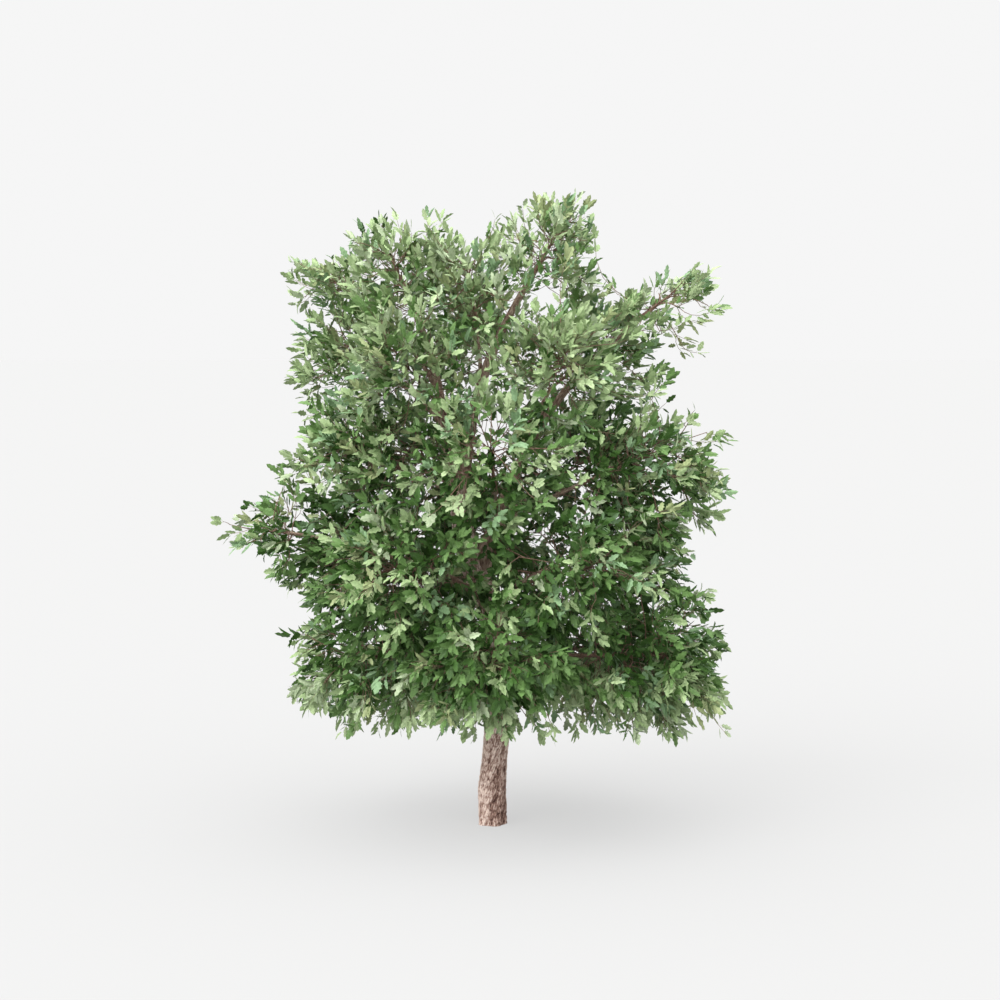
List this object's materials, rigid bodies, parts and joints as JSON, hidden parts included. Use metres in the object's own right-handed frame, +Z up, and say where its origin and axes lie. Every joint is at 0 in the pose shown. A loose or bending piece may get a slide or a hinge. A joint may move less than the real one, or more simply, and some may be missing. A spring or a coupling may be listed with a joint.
{
  "type": "maple tree",
  "caption": "Broad, dense maple tree in full summer leaf on a short bark-covered trunk, for planting in gardens, streets and parks.",
  "frame": {"origin": "middle of the flat cut under the trunk, at ground level", "axes": "+Z up the trunk, +X to the right and +Y away, as the tree is seen from its front; the crown's long upper arm reaches out towards +X"},
  "size_m": [5.2234, 4.1408, 6.3843],
  "materials": {
    "bark": "rough, deeply furrowed bark",
    "foliage": "matt green leaves"
  },
  "bodies": {
    "root": {"bough_brow_1": "bark", "bough_brow_2": "bark", "bough_brow_3": "bark", "bough_brow_4": "bark", "bough_brow_5": "bark", "bough_crest": "bark", "bough_jut": "bark", "bough_shoulder_1": "bark", "bough_shoulder_2": "bark", "bough_shoulder_3": "bark", "bough_shoulder_4": "bark", "bough_shoulder_5": "bark", "bough_skirt_1": "bark", "bough_skirt_2": "bark", "bough_skirt_3": "bark", "bough_skirt_4": "bark", "bough_skirt_5": "bark", "bough_waist_1": "bark", "bough_waist_2": "bark", "bough_waist_3": "bark", "bough_waist_4": "bark", "bough_waist_5": "bark", "bough_wing": "bark", "foliage_brow_1": "foliage", "foliage_brow_2": "foliage", "foliage_brow_3": "foliage", "foliage_brow_4": "foliage", "foliage_brow_5": "foliage", "foliage_crest": "foliage", "foliage_jut": "foliage", "foliage_left": "foliage", "foliage_middle": "foliage", "foliage_right": "foliage", "foliage_shoulder_1": "foliage", "foliage_shoulder_2": "foliage", "foliage_shoulder_3": "foliage", "foliage_shoulder_4": "foliage", "foliage_shoulder_5": "foliage", "foliage_skirt_1": "foliage", "foliage_skirt_2": "foliage", "foliage_skirt_3": "foliage", "foliage_skirt_4": "foliage", "foliage_skirt_5": "foliage", "foliage_waist_1": "foliage", "foliage_waist_2": "foliage", "foliage_waist_3": "foliage", "foliage_waist_4": "foliage", "foliage_waist_5": "foliage", "foliage_wing": "foliage", "leader_left": "bark", "leader_middle": "bark", "leader_right": "bark", "trunk": "bark"}
  },
  "joints": []
}
